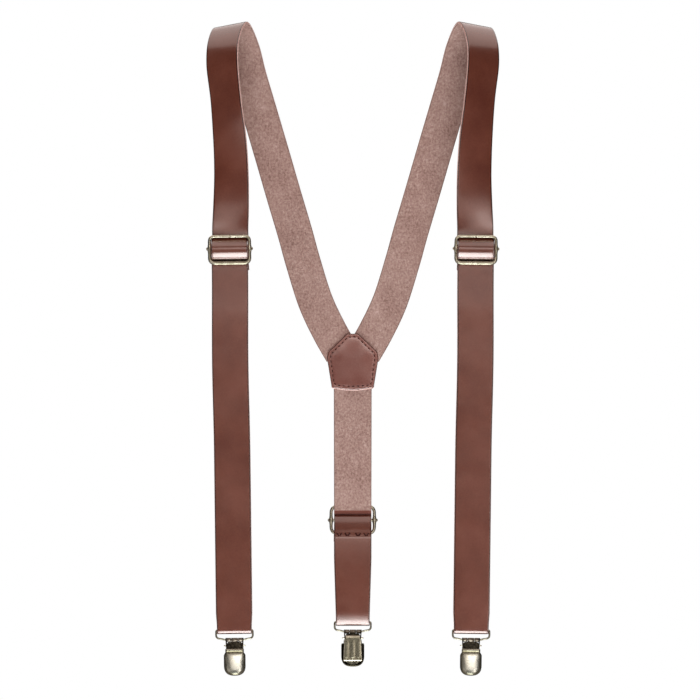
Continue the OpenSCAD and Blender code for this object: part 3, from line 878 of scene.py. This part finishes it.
def dome_shell(side):
    """The stamped front of the clip: a thumb-shaped dome with a turned-in rim."""
    w = DOME_HALF[side]
    narrow, corner, shoulder, bend = DOME_CORNER[side]
    corners = [(-w + narrow, DOME_TOP, corner), (w - narrow, DOME_TOP, corner), (w, shoulder, bend),
               (w, DOME_LOW, 7.6), (-w, DOME_LOW, 7.6), (-w, shoulder, bend)]
    outline = resample(rounded(corners, 14), 0.5)
    mid, k = np.array((0, DOME_MID)), len(outline)
    rise = RIM_Y - DOME_FRONT

    def depth(f, x, z):
        edge = (1 - f ** 12) ** 0.6
        crown = (1 - abs(x / w) ** 2.6) ** 0.75 if abs(x) < w else 0
        length = 1 - 0.72 * max(0.0, 1 - (DOME_TOP - z) / 13.5) ** 1.4
        return RIM_Y - rise * min(1, 0.12 + 0.88 * crown) * edge * length

    shares = [1, 0.995, 0.985, 0.97, 0.945, 0.91, 0.86, 0.8, 0.72, 0.62, 0.5, 0.38, 0.25, 0.12]
    verts, faces, patina_and_shade, polish_and_highlight = [], [], [], []
    for layer, drop in ((0, 0.0), (1, SHEET)):      # the outside, then the inside
        base = len(verts)
        for f in shares:
            g = f * (0.925 if layer else 1)
            for p in outline:
                x, z = mid + (p - mid) * g
                verts.append((x, depth(f, x, z) + (0 if f == 1 else drop), z))
                # The outside is painted darker at its rim and towards its bottom, as painted shade; the inside is
                # dark all over
                wear_and_shade = max(smooth_step((f - 0.9) / 0.08), 0.9 * smooth_step((-27 - z) / 3.5))
                patina_and_shade.append(max(layer, wear_and_shade) * 0.92)
                # Polish on the dome's middle, with a painted highlight that grows towards its right side
                lit = 0.45 + 0.55 * smooth_step((x + 4.5) / 5)
                polish_and_highlight.append((1 - layer) * smooth_step((0.96 - f) / 0.4) * lit)
        verts.append((0, depth(0, 0, mid[1]) + drop, mid[1]))
        patina_and_shade.append(layer * 0.92)
        polish_and_highlight.append(1 - layer)
        for i in range(len(shares) - 1):
            for j in range(k):
                a, b = base + i * k + j, base + i * k + (j + 1) % k
                faces.append((a, b, b + k, a + k))
        last = base + (len(shares) - 1) * k
        faces += [(last + j, last + (j + 1) % k, base + len(shares) * k) for j in range(k)]
    other = len(verts) // 2
    faces += [(j, (j + 1) % k, other + (j + 1) % k, other + j) for j in range(k)]
    return mesh_object("dome", verts, faces, [BRASS], point_values={"patina_and_shade": patina_and_shade, "polished_and_highlit": polish_and_highlight})


def neck_band():
    """The rolled bead across the top of the dome."""
    bead = [(-1.1, -13.1), (-1.7, -12.95), (-2.4, -13.2), (-2.75, -13.8), (-2.6, -14.5), (-2.2, -14.95),
            (-2.05, -15.3), (-2.3, -16), (-1.4, -16.3), (-1.15, -15)]
    rings = []
    for x in np.linspace(-6.5, 6.5, 21):
        edge = min(1, (6.5 - abs(x)) / 0.7)
        ring = []
        for y, z in bead:
            squeeze = 0.55 + 0.45 * math.sqrt(edge)
            ring.append((x, -1.3 + (y + 1.3) * squeeze, -14.2 + (z + 14.2) * (0.7 + 0.3 * math.sqrt(edge))))
        rings.append(ring)
    # The bead's lower part is painted darker, as painted shade under the bead; its top has a light patina
    patina_and_shade = [0.25 if z > -13.7 else 0.8 for ring in rings for _, _, z in ring]
    return sharpen(skinned("bead", rings, [BRASS], point_values={"patina_and_shade": patina_and_shade}), 50)


def cheek_plate():
    """The clip's side ear, from the hinge knuckle to the lever's pin."""
    hinge, pin = (0, -WIRE_DROP), PIN
    outline = (arc(hinge, KNUCKLE_R, 175, 20, 10) + arc(pin, 1.35, 40, -110, 10)
               + [(1.2, -13.2), (-0.9, -14.6), (-1.5, -15.1), (-2.1, -14.9), (-2.15, -13), (-1.85, -9.5)])
    ob = extruded("cheek", outline, CHEEK_IN, CHEEK_OUT, [STEEL])
    for y, z, r in ((*hinge, BORE_R), (*pin, 0.52)):
        drill(ob, y, z, r)
    ob = bevel(ob, 0.18, 40)
    for v in ob.data.vertices:
        v.co.x -= 0.45 * max(0.0, min(1.0, (-8.2 - v.co.z) / 4.2))
    return sharpen(ob, 40)


def drill(ob, y, z, r):
    """Bores a round hole along x through a piece drawn in millimetres."""
    tool = moved(lathe_x("drill", [(-12, r), (12, r)], [BRASS], 32), 0, y, z)
    m = ob.modifiers.new("bore", "BOOLEAN")
    m.operation, m.object, m.solver = "DIFFERENCE", tool, "EXACT"
    apply_modifiers(ob)
    bpy.data.objects.remove(tool)


def mirrored(ob):
    """A copy on the other side of x = 0."""
    twin = in_scene(ob.name, ob.data.copy())
    twin.data.transform(Matrix.Scale(-1, 4, (1, 0, 0)))
    twin.data.flip_normals()
    return twin


def shell(side):
    """The clip's fixed half: dome, bead, two side ears and the knuckles on the wire."""
    parts = [dome_shell(side), neck_band()]
    # The knuckles take the lighter steel, as painted highlight
    knuckle = moved(ring_x("knuckle", KNUCKLE_IN, CHEEK_IN + 0.1, KNUCKLE_R, BORE_R, [HIGHLIGHT_STEEL]), z=-WIRE_DROP)
    cheek = cheek_plate()
    parts += [knuckle, mirrored(knuckle), cheek, mirrored(cheek)]
    in_clip(join_meshes(f"{side}_clip_front", parts), side, "clip", "clip_shell")


def pin(side):
    """The pin through both ears, on which the lever turns."""
    r, end = 0.5, 7.6
    profile = [(-end, 0.02), (-end + 0.05, 0.3), (-end + 0.25, 0.46), (-end + 0.5, r), (end - 0.5, r),
               (end - 0.25, 0.46), (end - 0.05, 0.3), (end, 0.02)]
    ob = moved(lathe_x(f"{side}_clip_pin", profile, [BRASS], 20), y=PIN[0], z=PIN[1])
    in_clip(ob, side, "clip", "lever_pin")


def jaw(side):
    """The hinged plate that presses on the cloth: a rolled knuckle, a narrow tongue and a toothed foot."""
    tongue, foot, low = 4.9, 6.6, -30.2
    side_line = [(2.3, -7.2, 0), (2.3, -8.4, 0.4), (tongue, -8.4, 0.8), (tongue, -15, 1), (foot, -17, 1.2)]
    tooth = 0.35
    teeth = [(foot - tooth * k, low + foot - foot * math.sqrt(1 - ((foot - tooth * k) / foot) ** 2)
              - (tooth if k % 2 else 0), 0) for k in range(1, 19)]
    right = side_line + [(foot, -23.6, 0)] + teeth
    outline = rounded(right + [(-x, z, r) for x, z, r in reversed(right)], 5)
    rings = [[(x, y, z) for x, z in outline] for y in (-0.5, 0.3)]
    plate = bevel(skinned("plate", rings, [STEEL], smooth=False), 0.12, 60)
    # The roll takes the lighter steel, as painted highlight
    roll = moved(ring_x("roll", -2.3, 2.3, KNUCKLE_R, BORE_R, [HIGHLIGHT_STEEL]), z=-WIRE_DROP)
    in_clip(join_meshes(f"{side}_clip_back_jaw", [sharpen(plate, 40), roll]), side, "jaw", "clip_jaw")


def pad(side):
    """The rubber grip, ribbed across."""
    low, high, ribs = -28.0, -18.0, 6
    face = []
    for k in range(ribs * 8 + 1):
        z = low + (high - low) * k / (ribs * 8)
        face.append((-1.2 + 0.2 * math.cos(2 * math.pi * k / 8), z))
    outline = face + [(-0.5, high), (-0.5, low)]
    ob = bevel(extruded(f"{side}_clip_pad", outline, -5, 5, [RUBBER]), 0.12, 60)
    in_clip(sharpen(ob, 45), side, "jaw", "grip_pad")


def lever(side):
    """The thumb lever: a sheet rolled into a cam on its pin, three flutes down its face and a turned-out lip."""
    turns = [(-50, 2.5), (-25, 2.52), (0, 2.5), (25, 2.24), (50, 2.0), (75, 1.72), (95, 1.6), (115, 1.72),
             (135, 2.1), (155, 2.35)]
    cam = [(PIN[0] - r * math.cos(math.radians(a)), PIN[1] + r * math.sin(math.radians(a))) for a, r in turns]
    front = [(5.85, -11.6), (5.8, -13.5), (5.72, -17), (5.66, -21), (5.6, -24.4), (5.58, -25.4), (5.72, -26.3),
             (6.15, -26.95), (6.7, -26.95), (6.9, -26.5)]
    path = evenly(spline(cam + front, 6), 0.35)
    rings = []
    for (y, z), (hy, hz) in zip(path, headings(path)):
        out = np.array((-hz, hy))
        down = smooth_step(-11.2 - z) if y > PIN[0] else 0
        half = 5.2 + (0.78 + 0.7 * max(0.0, min(1.0, (-12 - z) / 14))) * down
        flute = FLUTE_DEEP * max(0, min(1, (-11 - z) / 3, (z + 25.6) / 0.8)) if y > PIN[0] else 0
        xs = np.linspace(-half, half, 41)
        top, low = [], []
        for x in xs:
            edge = (half - abs(x)) / 0.35
            t = LEVER_T / 2 * (math.sqrt(min(1, edge)) * 0.6 + 0.4)
            wave_out = flute * (0.5 + 0.5 * math.cos(2 * math.pi * x / FLUTE_GAP)) * min(1, edge)
            top.append((x, y + out[0] * (t + wave_out), z + out[1] * (t + wave_out)))
            low.append((x, y - out[0] * t, z - out[1] * t))
        rings.append(top + low[::-1])
    ob = sharpen(skinned(f"{side}_clip_lever_plate", rings, [BRASS]), 50)
    in_clip(ob, side, "lever", "clip_lever")


# --- Build ---
for s in ("left", "right"):
    shoulder_piece(s)
back_piece()
for s in SIDES:
    looped_piece(s)
    make_end_stitches(s)
    frame_wire(s)
    middle_bar(s)
    hanger(s)
    shell(s)
    pin(s)
    jaw(s)
    pad(s)
    lever(s)
make_patches()
bpy.context.view_layer.update()


# --- Studio ---
def stage_floor():
    """A wide pale floor below the hanging object."""
    m = Nodes("studio_floor", 0.9, Specular_IOR_Level=0.1)
    m.colour(m.ramp(m.noise(0.6), (0.2, (0.86, 0.86, 0.86, 1)), (0.8, (0.9, 0.9, 0.9, 1))))
    size, z = 8.0, -1.7
    me = bpy.data.meshes.new("studio_floor")
    me.from_pydata([(-size, -size, z), (size, -size, z), (size, size, z), (-size, size, z)], [], [(0, 1, 2, 3)])
    me.materials.append(m.mat)
    in_scene("studio_floor", me)


def panel(name, place_m, aim_m, size_x, size_y, watts, colour=(1, 1, 1), shines=True):
    """A soft rectangular light that the camera doesn't see; one that doesn't shine isn't reflected either."""
    data = bpy.data.lights.new(name, "AREA")
    data.shape, data.size, data.size_y, data.energy, data.color = "RECTANGLE", size_x, size_y, watts, colour
    ob = in_scene(name, data)
    ob.location = place_m
    ob.rotation_mode = "QUATERNION"
    ob.rotation_quaternion = (Vector(aim_m) - Vector(place_m)).to_track_quat("-Z", "Y")
    ob.visible_camera = False
    ob.visible_glossy = shines


def world_light():
    """A white surround for the eye; for light and reflections it is bright above and below, grey at eye level."""
    world = bpy.data.worlds.new("studio")
    scene.world = world
    world.use_nodes = True
    tree = world.node_tree
    tree.nodes.clear()
    new = tree.nodes.new
    coords, split, ramp = new("ShaderNodeTexCoord"), new("ShaderNodeSeparateXYZ"), new("ShaderNodeValToRGB")
    span, path, mix = new("ShaderNodeMapRange"), new("ShaderNodeLightPath"), new("ShaderNodeMix")
    back, out = new("ShaderNodeBackground"), new("ShaderNodeOutputWorld")
    mix.data_type = "RGBA"
    span.inputs["From Min"].default_value = -1
    levels = ((0.0, 0.2), (0.4, 0.12), (0.54, 0.04), (0.86, 0.05), (1.0, 0.2))
    for _ in levels[2:]:
        ramp.color_ramp.elements.new(0.5)
    for e, (at, v) in zip(ramp.color_ramp.elements, levels):
        e.position, e.color = at, (v, v, v, 1)
    links = tree.links.new
    links(coords.outputs["Generated"], split.inputs[0])
    links(split.outputs["Z"], span.inputs["Value"])
    links(span.outputs["Result"], ramp.inputs["Fac"])
    links(path.outputs["Is Camera Ray"], mix.inputs[0])
    links(ramp.outputs["Color"], mix.inputs[6])
    mix.inputs[7].default_value = (1, 1, 1, 1)
    links(mix.outputs[2], back.inputs["Color"])
    links(back.outputs[0], out.inputs["Surface"])


stage_floor()
world_light()
middle = (0, 0, -0.22)
panel("underlight", (0, -1.05, -1.5), (0, -1.05, 0), 0.5, 1.8, 34, (0.84, 0.96, 1))
panel("underlight_edge", (0, -2.35, -1.5), (0, -2.35, 0), 0.5, 0.8, 5, (0.84, 0.96, 1))
panel("front", (0.05, -2.3, 0.28), middle, 1.9, 0.9, 6.2, (1, 0.96, 0.93))
panel("clip_key", (0.2, -2.0, 0.3), (0, 0, -0.44), 0.8, 0.35, 1.8)
panel("strip_left", (-1.2, -1.5, -0.75), (0, 0, -0.445), 1.2, 0.8, 2.2)
panel("strip_right", (0.8, -1.9, -0.8), (0, 0, -0.445), 0.6, 0.9, 6)
panel("top", (0, 0.45, 1.3), (0, 0.45, -0.2), 3.4, 4.1, 54, (1, 0.94, 0.91))
panel("fill", (0, -3.0, 0.5), middle, 2.5, 1.8, 9, shines=False)
panel("rear", (-0.5, 1.8, 0.2), middle, 1.4, 1.2, 12, shines=False)

# The camera looks level at the middle of the object through a long lens
data = bpy.data.cameras.new("camera")
data.lens, data.sensor_width = 200, 36
camera = in_scene("camera", data)
camera.location = (-0.00195, -2.744, -0.2278)
camera.rotation_euler = (math.radians(90), 0, 0)
scene.camera = camera
scene.view_settings.view_transform = "Standard"
